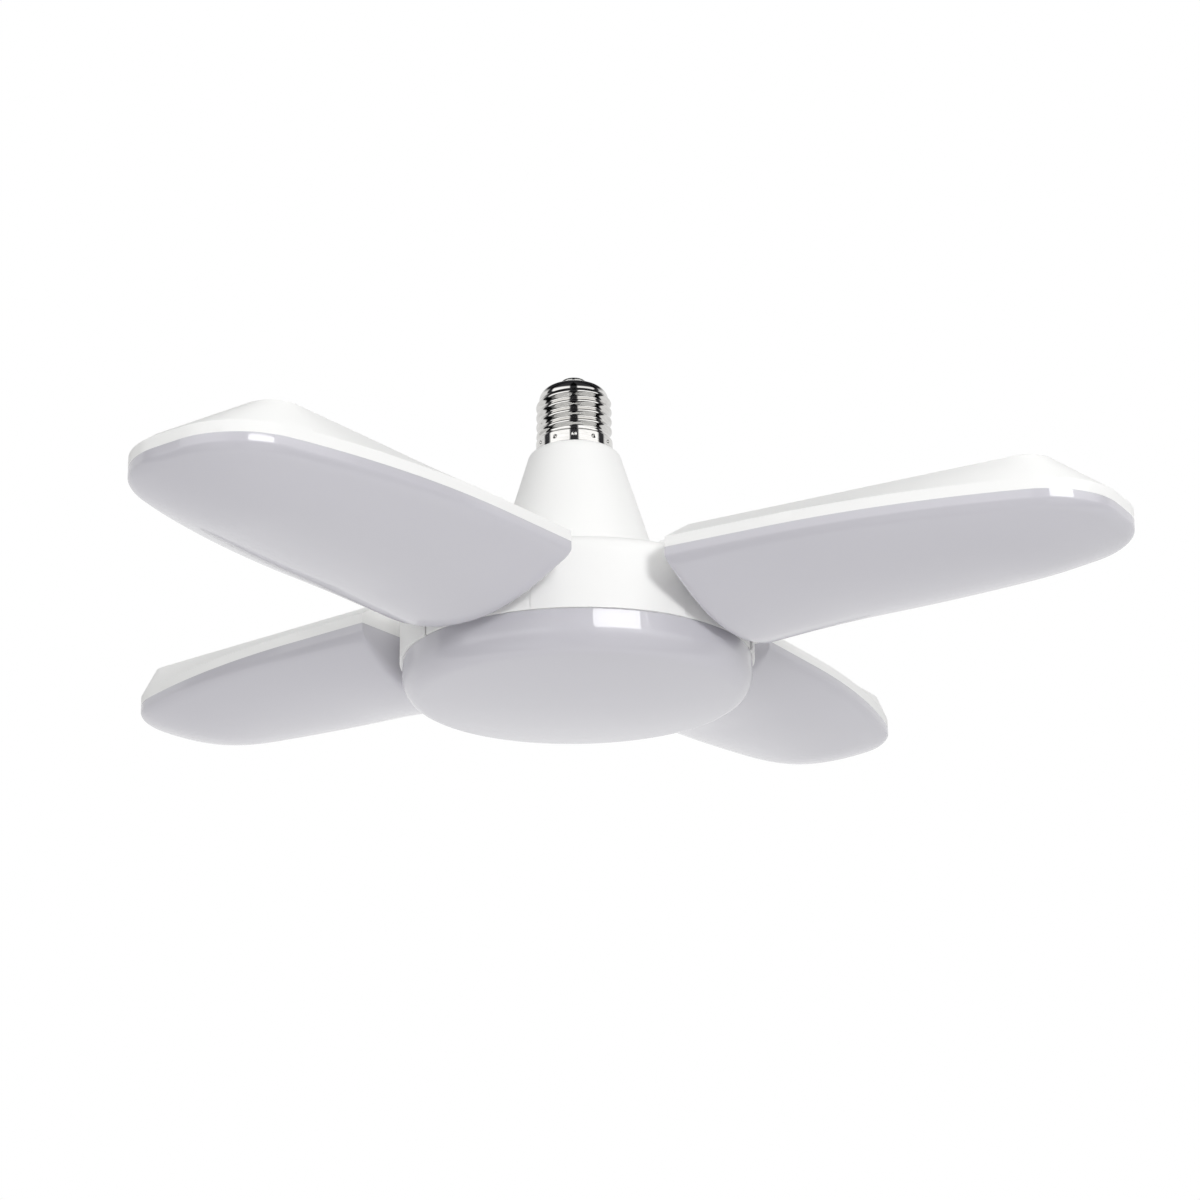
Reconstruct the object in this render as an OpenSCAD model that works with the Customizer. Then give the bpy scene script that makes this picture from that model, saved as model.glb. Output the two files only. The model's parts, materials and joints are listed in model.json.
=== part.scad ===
// Folding garage light: a hub drum on a screw-in lamp neck, with a round lens
// below it and four hinged light petals that swing up around the neck.
// Origin: centre of the cap's foot, where it meets the neck. +Z points up, out of
// the cap. Petal 1 lies along +X, and the others follow counter-clockwise.
// All sizes are in millimetres.

/* [Screw cap] */
// Outer radius of the cap's plain skirt
skirt_r = 13.3; // [13.2:0.05:13.8]
// Height of the plain skirt
skirt_h = 4.6; // [4:0.2:6]
// Radius over the thread's crests
crest_r = 13.15; // [12.9:0.05:13.2]
// Radius at the thread's roots
thread_root_r = 12.1; // [11.8:0.05:12.3]
// Height of one thread turn
thread_pitch = 3.629; // [3.2:0.001:4]
// Number of thread crests
thread_turns = 4; // [3:1:5]
// Thickness of the cap's sheet metal
sheet_t = 0.4; // [0.3:0.05:0.6]
// Height of the white insulator above the metal shell
insulator_h = 1.9; // [1.6:0.1:4]
// Height of the shell's dome above the thread
dome_h = 5.3; // [3:0.1:6]
// Radius of the dome's rounded edge
dome_round = 4.3; // [3:0.1:5]
// Radius of the contact at the very top
contact_r = 4.6; // [3.5:0.1:5.5]
// Height of the contact
contact_h = 1.4; // [1.2:0.1:3]

/* [Neck] */
// Height of the neck from the hub's top to the cap
neck_h = 46.5; // [42:0.5:60]
// Radius of the neck where it stands on the hub
neck_base_r = 29.4; // [28:0.1:30]
// Radius of the flat ring that the cap's skirt stands on
neck_top_r = 13.9; // [13.8:0.1:14.4]
// Radius of the rounded shoulder under the cap
neck_round = 3.4; // [2:0.1:5]
// Wall of the neck moulding
neck_wall = 2; // [1.6:0.1:2.4]
// Height of the collar inside the cap's skirt
collar_h = 7; // [5:0.5:9]

/* [Hub] */
// Height of the drum's wall with its rounded shoulder
hub_h = 24.5; // [23:0.5:27]
// Radius of the drum's shoulder
hub_round = 4; // [2.5:0.5:6]
// Height of the hub's crown, where the neck stands
hub_top = 29.5; // [29:0.5:32]
// Wall of the hub moulding
hub_wall = 2.2; // [1.8:0.1:2.6]
// Half width of a hinge bay
bay_half = 20.9; // [19:0.1:22]
// Room between the bay's inner face and the hinge barrel
bay_gap = 3; // [2:0.1:4]
// Thickness of the cheeks that hold a hinge pin
cheek_t = 3; // [2.4:0.2:4]
// Radius of the round opening between the hub and the neck
throat_r = 17; // [16:0.5:18]

/* [Centre lens] */
// Distance that the lens stands back from the hub's wall
lens_step = 0.9; // [0.4:0.1:2]
// Depth of the lens below the hub
lens_depth = 17.5; // [13:0.1:20]
// Radius of the lens's round bottom edge
lens_round = 8; // [4:0.5:9]
// Radius of the lens's crown, seen from the side
lens_crown_r = 313; // [220:1:500]
// Wall of the lens
lens_wall = 1.8; // [1.4:0.1:2.2]
// Reach of the snap rim inside the lens
lens_snap = 1.4; // [1:0.1:1.8]

/* [Petals] */
// Number of petals around the hub
petal_count = 4; // [3:1:4]
// Width of a petal at its root
petal_w = 80; // [70:0.5:92]
// Length of a petal from its root edge to its tip
petal_l = 130.8; // [115:0.1:150]
// Length of the straight part of a petal's sides
side_l = 33.7; // [25:0.1:45]
// Radius of the tip's corners
tip_round = 25.1; // [16:0.1:27]
// Width of the straight end between the tip's corners
tip_flat = 9.1; // [4:0.1:18]
// Gap between the hub's wall and a petal's root edge
root_gap = 1.1; // [0.8:0.1:2]
// Gap between the edges of two folded petals
fold_gap = 1.2; // [1:0.1:3]
// Height of the seam between a petal's housing and its diffuser
seam_z = 16.9; // [16.5:0.1:17.2]
// Height of the upright edge of the housing above the seam
edge_h = 3.4; // [2.4:0.1:3.6]
// Height of the housing's flat back above the seam
back_h = 11.8; // [10.5:0.1:11.8]
// Half width of the flat back
back_half = 26; // [20:0.5:28]
// Distance from the flat back's end to the petal's tip
back_tip_gap = 13.4; // [8:0.2:18]
// Radius of the flat back's corners
back_round = 9; // [5:0.5:12]
// Wall of the housing
petal_wall = 1.8; // [1.4:0.1:2.2]
// Height of the diffuser's upright edge below the seam
diffuser_edge_h = 4; // [3.5:0.1:6]
// Depth of the diffuser's crown below that edge, at the root
crown_depth = 12.7; // [9:0.1:13]
// How much shallower the crown is at the tip
crown_rise = 4.9; // [0:0.1:6]
// Squareness of the crown's section, 2 is round
crown_power = 2.1; // [2:0.1:3]
// Wall of the diffuser
diffuser_wall = 1.6; // [1.2:0.1:2]
// Angle that each opened petal hangs below level
droop = [2.4, 1.6, 1.7, 1.4]; // [0:0.1:2.4]

/* [Hinges] */
// Distance from a hinge pin out to the hub's wall
hinge_inset = 13.9; // [13.6:0.1:15]
// Height of a hinge pin above the lens plane
hinge_z = 16; // [15.8:0.1:16.4]
// Radius of a hinge pin
pin_r = 2.5; // [2:0.1:3]
// Radius of the hinge barrel
barrel_r = 11.5; // [10:0.1:12]
// Radial play of the barrel on its pin
pin_play = 0.07; // [0.03:0.01:0.09]
// Thickness of a friction washer
washer_t = 0.6; // [0.4:0.1:0.6]
// Gap of the knuckle's foot above the lens and beside the bay's walls
knuckle_gap = 0.3; // [0.3:0.1:1]

/* [Boards and driver] */
// Thickness of the aluminium lamp boards
board_t = 1.5; // [1:0.1:1.6]
// Thickness of the heat plate that closes the hub
plate_t = 2; // [1.8:0.1:3]
// Distance from the lens's wall in to the edge of the centre lamp board
centre_board_step = 6.7; // [5:0.5:10]
// Distance from the hub's wall in to the screws of the heat plate
plate_screw_step = 12.4; // [12:0.2:13]
// Distance from a petal's root to its first light emitting diodes
led_root_gap = 11; // [10:0.5:13]
// Distance from a petal's tip to its last light emitting diodes
led_tip_gap = 14; // [13:0.5:20]
// Length of the petal feed leads inside the hub
feed_lead_l = 9; // [8:0.5:10]
// Width of the driver board
driver_w = 28; // [26:0.5:30]
// Length of the driver board
driver_h = 56; // [50:1:58]
// Thickness of the driver board
driver_t = 1.6; // [1:0.1:2]
// Size of one light emitting diode
led_size = [3.5, 2.8, 0.8]; // [0.4:0.1:6]
// Radius of an insulated lead
lead_r = 0.9; // [0.6:0.1:1.1]
// Radius of a screw's shank
screw_r = 1.3; // [1:0.1:1.5]
// Radius of a screw's head
screw_head_r = 2.6; // [2.2:0.1:3]
// Height of a screw's head
screw_head_h = 1.6; // [1.2:0.1:2]
// Depth that a screw bites into its boss
screw_bite = 8; // [5:0.5:10]
// Radius of a screw boss
boss_r = 3.4; // [3:0.1:4]

/* [Hidden] */
$fn = 72;
// Gap between snap-in pieces
snap_gap = 0.3;
// Gap between sliding or pushed-in pieces
slip_gap = 0.1;
// Gap between a screw's shank and the hole that it is driven into
thread_gap = 0.02;
// Overlap of a cutting tool past the face that it cuts
over = 1;
// Thickness of the slices that a lofted shell is drawn through
slice_t = 0.02;

white = [0.95, 0.95, 0.94];
milk = [0.78, 0.78, 0.81];
nickel = [0.72, 0.72, 0.72];

side_angle = 360 / petal_count;
// Radius of a thread crest's round section, and of the insulator's foot in the shell
thread_crest = 1.15;
insulator_foot_r = thread_root_r - dome_round - 0.3;
neck_top = hub_top + neck_h;
shell_h = skirt_h + thread_turns * thread_pitch + dome_h;
seat_z = neck_top + shell_h;

// Neck: the cone's side touches the round shoulder where neck_touch says
neck_turn = [neck_top_r - 1, neck_top - neck_round];

// The hinges stand just far enough out for four folded petals to clear each other,
// and the hub, its bays and its lens follow from them
petal_half = petal_w / 2;
hinge_u = petal_half + fold_gap + seam_z + edge_h - hinge_z;
hub_r = hinge_u + hinge_inset;
bay_in = hinge_u - barrel_r - bay_gap;
lens_r = hub_r - lens_step;
centre_board_r = lens_r - lens_wall - centre_board_step;

// Lens: its bottom corner and crown meet in one smooth line
lens_crown_z = lens_crown_r - lens_depth;
lens_corner_u = lens_r - lens_round;
lens_corner_z = lens_crown_z - sqrt(pow(lens_crown_r - lens_round, 2) - pow(lens_corner_u, 2));

// Petal outline: each side's curve runs smoothly into a tip corner
root_u = hub_r + root_gap;
tip_u = root_u + petal_l;
side_start_u = root_u + side_l;
corner_u = tip_u - tip_round;
corner_v = tip_flat / 2;
side_drop = petal_half - corner_v;
side_r = (pow(corner_u - side_start_u, 2) + pow(side_drop, 2) - pow(tip_round, 2))
    / (2 * (side_drop - tip_round));

back_z = seam_z + back_h;
board_z = seam_z + 1.2;
lip_inset = petal_wall + slip_gap;
lip_h = 1;
board_inset = lip_inset + diffuser_wall + snap_gap;

knuckle_half = bay_half - washer_t - snap_gap;
foot_half = bay_half - knuckle_gap;
// Where the knuckle's foot widens to fill the bay's mouth
bay_face_u = sqrt(pow(hub_r, 2) - pow(bay_half, 2)) - 1;
// Height of the foot, which the droop brings down to its gap above the lens
foot_z = knuckle_gap + hinge_inset * sin(max(droop));
cheek_out = bay_half + cheek_t;
pin_head_h = 2;
pin_reach = cheek_out + 3;

// Screws stand between the bays, half way into the hub's wall and into the neck's
plate_screw_u = hub_r - hub_wall - plate_screw_step;
neck_screw_u = neck_base_r - neck_wall - 1.4 * boss_r;
led_row_gap = petal_w * 3 / 16;
led_column_gap = petal_l / 11;

driver_foot = hub_top - driver_h * 0.37;
driver_top = driver_foot + driver_h;

// Screws that hold each petal's board
petal_bite = screw_bite * 0.6;
board_screws = [for (share = [0.13, 0.46, 0.79]) for (s = [-1, 1])
    [root_u + share * petal_l, s * petal_half * 0.35]];

petal_numbers = [1 : petal_count];
PETAL_PARTS = ["housing", "diffuser", "board", "leds", "screws", "washers", "leads"];

// ---- places ----

// From the lens plane, where heights are measured, to the part's own frame
module lamp() {
    translate([0, 0, -neck_top]) children();
}

module each_side(turn = 0) {
    for (k = petal_numbers)
        rotate(side_angle * (k - 1) + turn) children();
}

module between_petals() {
    each_side(side_angle / 2) children();
}

// A petal is drawn level along +X, then hangs by its droop about its hinge
module on_petal(k) {
    lamp()
        rotate(side_angle * (k - 1))
            translate([hinge_u, 0, hinge_z])
                rotate([0, droop[k - 1], 0])
                    translate([-hinge_u, 0, -hinge_z]) children();
}

module ring(outer, inner, h) {
    difference() {
        cylinder(h = h, r = outer);
        translate([0, 0, -over]) cylinder(h = h + 2 * over, r = inner);
    }
}

// A cylinder of the given reach to both sides of the petal's centre plane
module across(r, reach) {
    rotate([90, 0, 0]) cylinder(h = 2 * reach, r = r, center = true);
}

module pan_screw(length) {
    cylinder(h = length, r = screw_r);
    translate([0, 0, -screw_head_h]) cylinder(h = screw_head_h, r = screw_head_r);
}

// A lead: straight runs with round bends between the points of its route
module lead(route, r = lead_r) {
    for (i = [1 : len(route) - 1]) {
        a = route[i - 1];
        b = route[i];
        d = b - a;
        turn = atan2(d.y, d.x);
        tilt = atan2(norm([d.x, d.y]), d.z);
        translate(a) rotate([0, tilt, turn]) cylinder(h = norm(d), r = r, $fn = 24);
    }
    if (len(route) > 2)
        for (i = [1 : len(route) - 2])
            translate(route[i]) sphere(r = r, $fn = 24);
}

// ---- screw cap ----

// Section of the metal shell's straight part, drawn in by inset
module shell_section(inset = 0) {
    r = dome_round - inset;
    top = shell_h - inset;
    side = thread_root_r - inset;
    square([side, top - r]);
    square([side - r, top]);
    translate([side - r, top - r]) circle(r = r);
}

module screw_shell() {
    color(nickel) difference() {
        union() {
            cylinder(h = skirt_h, r = skirt_r);
            rotate_extrude() shell_section();
            rotate_extrude()
                for (i = [0 : thread_turns - 1])
                    translate([crest_r - thread_crest, skirt_h + (i + 0.5) * thread_pitch])
                        circle(r = thread_crest);
        }
        rotate_extrude() {
            shell_section(sheet_t);
            translate([0, -over]) square([thread_root_r - sheet_t, 2 * over]);
        }
        translate([0, 0, -over]) cylinder(h = skirt_h + over - 1, r = skirt_r - sheet_t);
        cylinder(h = shell_h + over, r = insulator_foot_r);
    }
}

module cap_insulator() {
    foot = insulator_foot_r - slip_gap;
    flange = thread_root_r - dome_round;
    color(white) translate([0, 0, shell_h - sheet_t])
        rotate_extrude()
            difference() {
                union() {
                    square([foot, sheet_t]);
                    translate([0, -1.6]) square([flange, 1.6]);
                    polygon([[0, sheet_t], [foot, sheet_t], [foot - 0.4, sheet_t + insulator_h / 3],
                        [contact_r + 0.6, sheet_t + insulator_h], [0, sheet_t + insulator_h]]);
                }
                translate([0, -2]) square([lead_r + slip_gap, sheet_t + insulator_h + 3]);
            }
}

module centre_contact() {
    z = shell_h + insulator_h;
    color(nickel) translate([0, 0, z])
        rotate_extrude()
            union() {
                square([contact_r, contact_h - 1]);
                square([contact_r - 1, contact_h]);
                intersection() {
                    translate([contact_r - 1, contact_h - 1]) circle(r = 1);
                    square([contact_r, contact_h]);
                }
            }
}

// ---- neck ----

// Angle at which the cone's side touches a shoulder of radius r, from a foot at u
function touch_angle(u, z, r) =
    let (d = [u, z] - neck_turn) atan2(d.y, d.x) + acos(r / norm(d));

module neck_section(inset = 0) {
    r = neck_round - inset * 0.5;
    foot = [neck_base_r - inset, hub_top];
    a = touch_angle(foot.x, foot.y, r);
    touch = neck_turn - [inset * 0.5, inset * 0.5] + r * [cos(a), sin(a)];
    middle = neck_turn - [inset * 0.5, inset * 0.5];
    polygon([[0, foot.y], foot, touch, middle, [0, middle.y]]);
    intersection() {
        translate(middle) circle(r = r);
        translate([0, middle.y - r]) square([middle.x + r, 2 * r]);
    }
    translate([0, middle.y - over]) square([middle.x, r + over]);
}

module neck_housing() {
    collar_r = skirt_r - sheet_t - slip_gap;
    color(white) lamp() difference() {
        union() {
            rotate_extrude() neck_section();
            translate([0, 0, neck_top - over])
                cylinder(h = collar_h + over, r = thread_root_r - sheet_t - slip_gap);
            translate([0, 0, neck_top - over]) cylinder(h = skirt_h - 1.4 + over, r = collar_r);
            translate([0, 0, hub_top - hub_wall]) cylinder(h = hub_wall + over, r = throat_r - slip_gap);
        }
        difference() {
            rotate_extrude() neck_section(neck_wall);
            neck_ribs();
            between_petals() translate([neck_screw_u, 0, hub_top])
                cylinder(h = screw_bite + 3 * over, r = boss_r);
        }
        translate([0, 0, hub_top - hub_wall - over])
            cylinder(h = hub_wall + 2 * over, r = throat_r - slip_gap - neck_wall);
        translate([0, 0, neck_top - 2 * neck_round])
            cylinder(h = collar_h + 3 * neck_round, r = neck_bore_r());
        between_petals() translate([neck_screw_u, 0, hub_top - over])
            cylinder(h = screw_bite + 2 * over, r = screw_r + thread_gap);
    }
}
function neck_bore_r() = thread_root_r - sheet_t - slip_gap - neck_wall + 0.4;

// Two pairs of ribs that the driver board slides between
module neck_ribs() {
    rib_t = 1.4;
    start = driver_w / 2 - 2;
    for (s = [-1, 1])
        for (side = [-1, 1])
            translate([s * (driver_t / 2 + slip_gap + rib_t / 2) - rib_t / 2, side > 0 ? start : -neck_base_r, hub_top])
                cube([rib_t, neck_base_r - start, driver_top - hub_top]);
}

module neck_screws() {
    color(nickel) lamp()
        between_petals()
            translate([neck_screw_u, 0, hub_top - hub_wall]) pan_screw(hub_wall + screw_bite);
}

// ---- hub ----

module hub_section(inset = 0, foot = 0) {
    r = hub_r - inset;
    h = hub_h - inset;
    c = max(hub_round - inset, 1);
    crown_r = neck_base_r + 1.4;
    translate([0, foot]) square([r, h - c - foot]);
    translate([r - c, h - c]) circle(r = c);
    polygon([[0, foot], [r - c, foot], [r - c, h], [crown_r, hub_top - inset], [0, hub_top - inset]]);
}

module bay_room(extra_half, extra_in) {
    translate([bay_in - extra_in, -bay_half - extra_half, -over])
        cube([hub_r - bay_in + extra_in + over, 2 * (bay_half + extra_half), hub_top + 2 * over]);
}

module hub_housing() {
    color(white) lamp() difference() {
        rotate_extrude() hub_section();
        difference() {
            rotate_extrude() hub_section(hub_wall, -over);
            each_side() bay_room(cheek_t, hub_wall);
            between_petals() translate([plate_screw_u, 0, -over]) cylinder(h = hub_top + over, r = boss_r);
        }
        each_side() bay_room(0, 0);
        each_side() translate([hinge_u, 0, hinge_z]) across(pin_r + 0.02, pin_reach + over);
        each_side() lead_hole();
        translate([0, 0, hub_top - hub_wall - over]) cylinder(h = hub_wall + 2 * over, r = throat_r);
        between_petals() translate([neck_screw_u, 0, hub_top - hub_wall - over])
            cylinder(h = hub_wall + 2 * over, r = screw_r + slip_gap);
        between_petals() translate([plate_screw_u, 0, -over])
            cylinder(h = screw_bite + 2 * over, r = screw_r + thread_gap);
    }
}

// Height at which the leads cross from the hub to a petal
lead_z = hinge_z + 6.5;
module lead_hole() {
    translate([bay_in - hub_wall - over, 0, lead_z])
        rotate([0, 90, 0]) cylinder(h = hub_wall + 2 * over, r = 2.4 * lead_r);
}

module hinge_pins() {
    color(nickel) lamp() each_side()
        translate([hinge_u, 0, hinge_z]) {
            across(pin_r, pin_reach);
            translate([0, -cheek_out, 0]) rotate([90, 0, 0]) cylinder(h = pin_head_h, r = pin_r + 1.6);
        }
}

module hinge_nuts() {
    color(nickel) lamp() each_side()
        translate([hinge_u, cheek_out, hinge_z])
            rotate([-90, 0, 0]) difference() {
                cylinder(h = pin_head_h, r = pin_r + 1.8, $fn = 6);
                translate([0, 0, -over]) cylinder(h = pin_head_h + 2 * over, r = pin_r + 0.02, $fn = 72);
            }
}

// ---- driver ----

module driver_board() {
    color("seagreen") lamp()
        translate([-driver_t / 2, -driver_w / 2, driver_foot]) cube([driver_t, driver_w, driver_h]);
}

module on_driver(y, z) {
    lamp() translate([driver_t / 2, y, driver_foot + z]) children();
}

module driver_transformer() {
    w = driver_w / 2;
    core = w / 9;
    color("gold") on_driver(0, driver_h * 0.07) {
        translate([0, -w / 2, 0]) cube([core, w, w]);
        translate([core, -w * 0.56, core]) cube([w / 2, w * 1.12, w - 2 * core]);
        translate([core + w / 2, -w / 2, 0]) cube([core, w, w]);
    }
}

module driver_capacitors() {
    big = driver_w * 0.18;
    small = driver_w * 0.14;
    color("dimgray") {
        on_driver(-driver_w / 5, driver_h * 0.48) translate([big, 0, 0]) cylinder(h = driver_h / 4, r = big);
        on_driver(driver_w / 4, driver_h * 0.53) translate([small, 0, 0])
            cylinder(h = driver_h / 5.5, r = small);
    }
}

module driver_bridge() {
    w = driver_w / 4;
    color("black") on_driver(0, driver_h * 0.82) translate([0, -w / 2, 0]) cube([w / 3, w, w * 0.7]);
}

module live_lead() {
    color("firebrick") lamp()
        lead([[0, 0, driver_top], [0, 0, neck_top + shell_h + insulator_h]]);
}

module neutral_lead() {
    y = neck_bore_r() - lead_r - slip_gap;
    rim = neck_top + collar_h + lead_r + slip_gap;
    color("steelblue") lamp()
        lead([[0, y, driver_top], [0, y, rim], [0, thread_root_r - sheet_t - lead_r, rim]]);
}

module petal_feed_leads() {
    start = driver_t / 2 + lead_r;
    color("firebrick") lamp() each_side()
        for (s = [-1, 1])
            lead([[bay_in - hub_wall - feed_lead_l, s * 1.1 * lead_r, lead_z],
                [bay_in, s * 1.1 * lead_r, lead_z]]);
}

// ---- centre light ----

module heat_plate() {
    color("silver") lamp() difference() {
        union() {
            translate([0, 0, -plate_t]) cylinder(h = plate_t, r = lens_r - lens_wall - lens_snap - snap_gap);
            translate([0, 0, -plate_t])
                cylinder(h = plate_t - snap_h() - slip_gap, r = lens_r - lens_wall - snap_gap);
        }
        between_petals() translate([plate_screw_u, 0, -plate_t - over])
            cylinder(h = plate_t + 2 * over, r = screw_r + slip_gap);
        translate([0, 0, -plate_t - over]) cylinder(h = plate_t + 2 * over, r = 3);
    }
}
function snap_h() = 0.8;

module centre_board() {
    color("whitesmoke") lamp() translate([0, 0, -plate_t - board_t]) difference() {
        cylinder(h = board_t, r = centre_board_r);
        between_petals() translate([plate_screw_u, 0, -over])
            cylinder(h = board_t + 2 * over, r = screw_r + slip_gap);
        translate([0, 0, -over]) cylinder(h = board_t + 2 * over, r = 3);
    }
}

module led() {
    translate([-led_size.x / 2, -led_size.y / 2, -led_size.z]) cube(led_size);
}

module centre_leds() {
    color("khaki") lamp() translate([0, 0, -plate_t - board_t])
        for (row = [1 : 3])
            for (i = [0 : 6 * row - 1])
                rotate(i * 60 / row + 30) translate([row * centre_board_r / 4.2, 0, 0]) led();
}

module plate_screws() {
    color(nickel) lamp() between_petals()
        translate([plate_screw_u, 0, -plate_t - board_t]) pan_screw(plate_t + board_t + screw_bite);
}

module lens_section(inset = 0) {
    r = lens_round - inset;
    intersection() {
        union() {
            translate([0, lens_corner_z]) square([lens_r - inset, over - lens_corner_z]);
            translate([0, -lens_depth]) square([lens_corner_u, lens_depth]);
            translate([lens_corner_u, lens_corner_z]) circle(r = r);
        }
        translate([0, lens_crown_z]) circle(r = lens_crown_r - inset, $fn = 720);
        translate([0, -lens_depth]) square([lens_r, lens_depth + (inset > 0 ? over : 0)]);
    }
}

module centre_lens() {
    color(milk) lamp() rotate_extrude() {
        difference() {
            lens_section();
            lens_section(lens_wall);
        }
        translate([lens_r - lens_wall - lens_snap, -snap_h()]) square([lens_wall + lens_snap, snap_h()]);
    }
}

// ---- petals ----

// Plan of a petal, drawn in by inset all round and by root_inset at its root
module petal_outline(inset = 0, root_inset = 0) {
    root = root_u + root_inset;
    half = petal_half - inset;
    translate([root, -half]) square([side_start_u - root, 2 * half]);
    intersection() {
        translate([side_start_u, petal_half - side_r]) circle(r = side_r - inset, $fn = 120);
        translate([side_start_u, side_r - petal_half]) circle(r = side_r - inset, $fn = 120);
        translate([side_start_u - 0.01, -half]) square([corner_edge() - side_start_u, 2 * half]);
    }
    r = max(tip_round - inset, 0.2);
    tip = min(tip_u - inset, corner_u + r);
    for (s = [-1, 1]) translate([corner_u, s * corner_v]) circle(r = r, $fn = 32);
    translate([corner_u - 0.01, -corner_v]) square([tip - corner_u + 0.01, 2 * corner_v]);
}

// Where a side's curve ends and the tip corner takes over
function corner_edge() =
    side_start_u + side_r / (side_r - tip_round) * (corner_u - side_start_u) - 1;

module back_outline(spread) {
    end = tip_u - back_tip_gap;
    intersection() {
        petal_outline(0.6 - min(spread, 0));
        union() {
            translate([root_u, -back_half - spread])
                square([end - back_round - root_u, 2 * (back_half + spread)]);
            for (s = [-1, 1])
                translate([end - back_round, s * (back_half - back_round)])
                    circle(r = back_round + spread, $fn = 40);
            translate([end - back_round, -back_half + back_round])
                square([back_round + spread, 2 * (back_half - back_round)]);
        }
    }
}

// Solid form of the housing, drawn in by inset, from foot to the flat back
module back_form(inset, foot, root_inset) {
    hull() {
        translate([0, 0, foot]) linear_extrude(seam_z + edge_h - foot) petal_outline(inset, root_inset);
        translate([0, 0, back_z - inset - 0.9]) linear_extrude(slice_t)
            intersection() {
                back_outline(1.4 - inset);
                translate([root_u + root_inset, -petal_half]) square([tip_u, 2 * petal_half]);
            }
        translate([0, 0, back_z - inset - slice_t]) linear_extrude(slice_t)
            intersection() {
                back_outline(-inset);
                translate([root_u + root_inset, -petal_half]) square([tip_u, 2 * petal_half]);
            }
    }
}

module knuckle() {
    arm_top = back_z - 0.8;
    translate([hinge_u, 0, hinge_z]) across(barrel_r, knuckle_half);
    // the foot below the arm follows the hub's round wall, and fills the bay's mouth
    intersection() {
        union() {
            translate([hinge_u, -knuckle_half, foot_z])
                cube([hub_r, 2 * knuckle_half, seam_z - foot_z + over]);
            translate([bay_face_u, -foot_half, foot_z])
                cube([hub_r, 2 * foot_half, seam_z - foot_z + over]);
        }
        cylinder(h = hub_top, r = hub_r - slip_gap);
    }
    translate([hinge_u, -knuckle_half, seam_z])
        cube([root_u - hinge_u + petal_wall / 2, 2 * knuckle_half, arm_top - seam_z]);
}

module knuckle_cuts() {
    rib_t = 2;
    // bore for the pin
    translate([hinge_u, 0, hinge_z]) across(pin_r + pin_play, knuckle_half + over);
    // pockets that core the foot out from below, on both sides of a middle rib
    for (s = [-1, 1])
        translate([hinge_u + 2 * rib_t, s > 0 ? rib_t / 2 : -knuckle_half + rib_t, foot_z - over])
            cube([hinge_inset - 3 * rib_t, knuckle_half - 1.5 * rib_t, hinge_z - pin_r - 2 * rib_t]);
    // channel for the leads, over the pin and into the housing
    translate([hinge_u - barrel_r - over, 0, lead_z]) rotate([0, 90, 0])
        cylinder(h = root_u - hinge_u + barrel_r + petal_wall + 3, r = 2.4 * lead_r);
}

module petal_housing(k) {
    color(white) on_petal(k) difference() {
        union() {
            difference() {
                back_form(0, seam_z, 0);
                difference() {
                    back_form(petal_wall, seam_z - over, petal_wall);
                    for (p = board_screws)
                        translate([p.x, p.y, board_z + board_t]) cylinder(h = back_h, r = boss_r);
                }
            }
            knuckle();
        }
        knuckle_cuts();
        for (p = board_screws)
            translate([p.x, p.y, board_z + board_t - over])
                cylinder(h = petal_bite + 2 * over, r = screw_r + thread_gap);
    }
}

// Depth of the crown where the plan is drawn in by s, as a share of crown_depth
function crown_share(s) = 1 - pow(max(petal_half - s, 0) / petal_half, crown_power);

// Solid form of the diffuser below the seam, through slices of the plan
module crown_form(steps, inset, depth) {
    hull() {
        translate([0, 0, seam_z - diffuser_edge_h]) linear_extrude(diffuser_edge_h + (inset > 0 ? over : 0))
            petal_outline(inset, inset);
        for (s = steps)
            translate([root_u, 0, seam_z - diffuser_edge_h - depth * crown_share(s)])
                rotate([0, -atan(crown_rise * crown_share(s) / petal_l), 0])
                    translate([-root_u, 0, 0])
                        linear_extrude(slice_t) petal_outline(inset + s, inset + 0.1 * s);
    }
}

module petal_diffuser(k) {
    color(milk) on_petal(k) difference() {
        union() {
            crown_form([3, 8, 15, 24, 34], 0, crown_depth);
            // lip that snaps up into the housing
            translate([0, 0, seam_z - over]) linear_extrude(lip_h + over) petal_outline(lip_inset, lip_inset);
        }
        crown_form([5, 15, 30], diffuser_wall, crown_depth - diffuser_wall);
        translate([0, 0, seam_z - 2 * over]) linear_extrude(lip_h + 3 * over)
            petal_outline(lip_inset + diffuser_wall, lip_inset + diffuser_wall);
    }
}

module petal_board(k) {
    color("whitesmoke") on_petal(k) difference() {
        translate([0, 0, board_z]) linear_extrude(board_t) petal_outline(board_inset, board_inset);
        for (p = board_screws)
            translate([p.x, p.y, board_z - over]) cylinder(h = board_t + 2 * over, r = screw_r + slip_gap);
    }
}

module petal_leds(k) {
    color("khaki") on_petal(k)
        for (row = [-1.5 : 1 : 1.5])
            for (u = [root_u + led_root_gap : led_column_gap : tip_u - led_tip_gap - 4 * abs(row)])
                translate([u, row * led_row_gap, board_z]) led();
}

module petal_screws(k) {
    color(nickel) on_petal(k)
        for (p = board_screws)
            translate([p.x, p.y, board_z]) pan_screw(board_t + petal_bite);
}

module petal_washers(k) {
    color(nickel) on_petal(k)
        for (s = [-1, 1])
            translate([hinge_u, s > 0 ? knuckle_half : -knuckle_half - washer_t, hinge_z])
                rotate([-90, 0, 0]) ring(barrel_r - 3, pin_r + pin_play, washer_t);
}

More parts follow.
